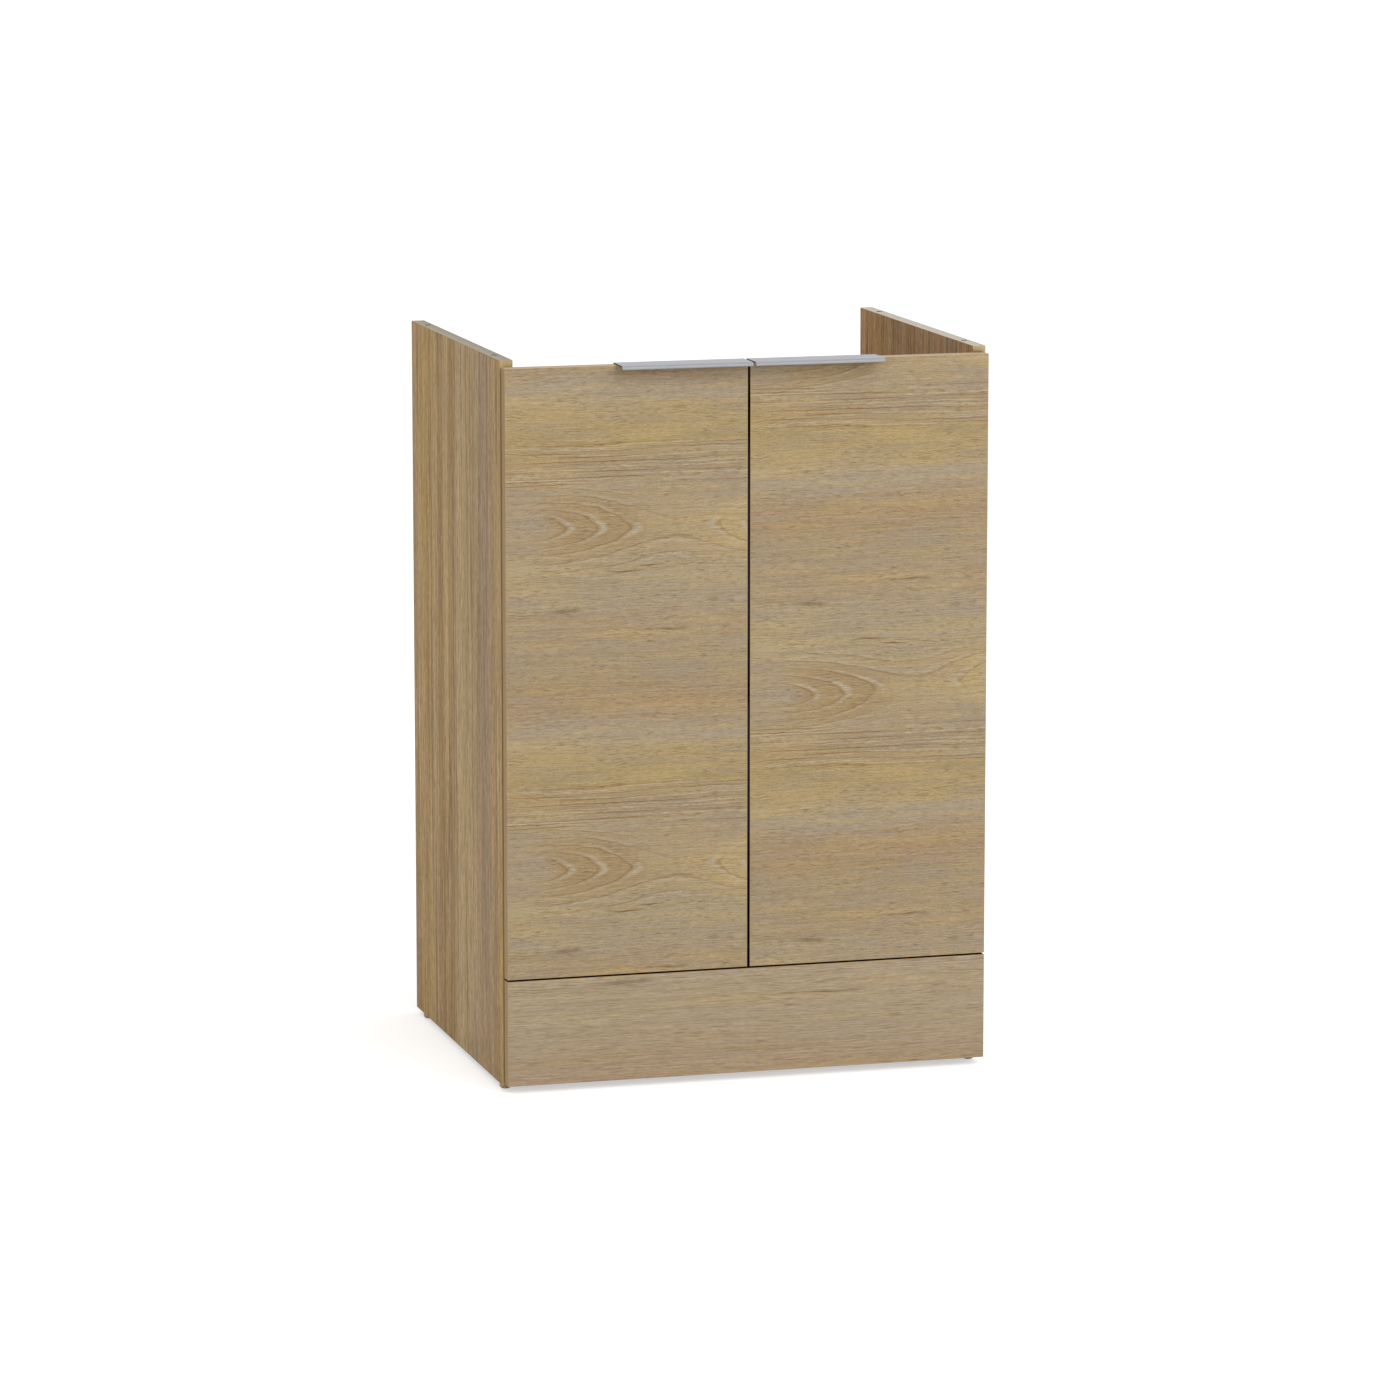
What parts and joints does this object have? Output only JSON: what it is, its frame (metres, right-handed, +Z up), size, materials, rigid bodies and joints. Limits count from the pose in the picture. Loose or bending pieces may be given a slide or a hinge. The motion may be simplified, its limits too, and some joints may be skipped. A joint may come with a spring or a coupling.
{
  "type": "washbasin cabinet",
  "caption": "Floor-standing oak-effect washbasin cabinet, open at the top and back, with hinged doors, folded metal edge pulls and a plinth.",
  "frame": {"origin": "on the floor, in the middle of the outer box, pulls included", "axes": "+Z up, +X to the right of someone facing the doors, +Y to the back; the doors face -Y"},
  "size_m": [0.6, 0.4995, 0.88],
  "materials": {
    "bracket_plastic": "moulded, brown",
    "bumper_plastic": "clear soft plastic",
    "cam_zinc": "die-cast zinc",
    "dowel_wood": "bare beech",
    "foot_plastic": "moulded, dark brown",
    "front_decor": "matte melamine, horizontal oak grain",
    "hinge_steel": "nickel-plated, satin",
    "inner_decor": "matte melamine, oak grain",
    "pin_steel": "plain steel",
    "pull_aluminium": "satin anodised",
    "screw_steel": "zinc-plated",
    "side_decor": "matte melamine, upright oak grain"
  },
  "bodies": {
    "carcass": {"back_left_foot": "foot_plastic", "back_right_foot": "foot_plastic", "bottom_panel": "inner_decor", "cam_bolts": "screw_steel", "cam_discs": "cam_zinc", "front_left_foot": "foot_plastic", "front_rail": "inner_decor", "front_right_foot": "foot_plastic", "joint_dowels": "dowel_wood", "left_hinge_arm_pins": "pin_steel", "left_hinge_arm_screws": "screw_steel", "left_lower_hinge_arm": "hinge_steel", "left_lower_mounting_plate": "hinge_steel", "left_plate_screws": "screw_steel", "left_plinth_bracket": "bracket_plastic", "left_side_panel": "side_decor", "left_upper_hinge_arm": "hinge_steel", "left_upper_mounting_plate": "hinge_steel", "lower_back_rail": "inner_decor", "plinth_bracket_screws": "screw_steel", "plinth_panel": "front_decor", "right_hinge_arm_pins": "pin_steel", "right_hinge_arm_screws": "screw_steel", "right_lower_hinge_arm": "hinge_steel", "right_lower_mounting_plate": "hinge_steel", "right_plate_screws": "screw_steel", "right_plinth_bracket": "bracket_plastic", "right_side_panel": "side_decor", "right_upper_hinge_arm": "hinge_steel", "right_upper_mounting_plate": "hinge_steel", "shelf": "inner_decor", "shelf_pins": "pin_steel", "upper_back_rail": "inner_decor"},
    "left_door": {"left_cup_screws": "screw_steel", "left_door": "front_decor", "left_door_bumpers": "bumper_plastic", "left_handle": "pull_aluminium", "left_handle_screws": "screw_steel", "left_hinge_cup_pins": "pin_steel", "left_lower_hinge_cup": "hinge_steel", "left_upper_hinge_cup": "hinge_steel"},
    "right_door": {"right_cup_screws": "screw_steel", "right_door": "front_decor", "right_door_bumpers": "bumper_plastic", "right_handle": "pull_aluminium", "right_handle_screws": "screw_steel", "right_hinge_cup_pins": "pin_steel", "right_lower_hinge_cup": "hinge_steel", "right_upper_hinge_cup": "hinge_steel"},
    "left_outer_links": {"left_lower_outer_link": "hinge_steel", "left_upper_outer_link": "hinge_steel"},
    "left_inner_links": {"left_lower_inner_link": "hinge_steel", "left_upper_inner_link": "hinge_steel"},
    "right_outer_links": {"right_lower_outer_link": "hinge_steel", "right_upper_outer_link": "hinge_steel"},
    "right_inner_links": {"right_lower_inner_link": "hinge_steel", "right_upper_inner_link": "hinge_steel"}
  },
  "joints": [
    {"name": "left_door_hinge", "type": "hinge", "parent": "carcass", "child": "left_door", "pos_m": [-0.2945, -0.21725, 0.507], "axis": [0, 0, -1], "range_deg": [0, 95]},
    {"name": "left_outer_link_turn", "type": "hinge", "parent": "left_door", "child": "left_outer_links", "pos_m": [-0.2889, -0.21225, 0.507], "axis": [0, 0, -1], "range_deg": [-125, 0]},
    {"name": "left_inner_link_turn", "type": "hinge", "parent": "left_door", "child": "left_inner_links", "pos_m": [-0.2928, -0.20995, 0.507], "axis": [0, 0, -1], "range_deg": [-125, 0]},
    {"name": "right_door_hinge", "type": "hinge", "parent": "carcass", "child": "right_door", "pos_m": [0.2945, -0.21725, 0.507], "axis": [0, 0, 1], "range_deg": [0, 95]},
    {"name": "right_outer_link_turn", "type": "hinge", "parent": "right_door", "child": "right_outer_links", "pos_m": [0.2889, -0.21225, 0.507], "axis": [0, 0, 1], "range_deg": [-125, 0]},
    {"name": "right_inner_link_turn", "type": "hinge", "parent": "right_door", "child": "right_inner_links", "pos_m": [0.2928, -0.20995, 0.507], "axis": [0, 0, 1], "range_deg": [-125, 0]}
  ],
  "couplings": [
    {"joint": "left_outer_link_turn", "follows": "left_door_hinge", "ratio": -1.3},
    {"joint": "left_inner_link_turn", "follows": "left_door_hinge", "ratio": -1.27},
    {"joint": "right_outer_link_turn", "follows": "right_door_hinge", "ratio": -1.3},
    {"joint": "right_inner_link_turn", "follows": "right_door_hinge", "ratio": -1.27}
  ]
}
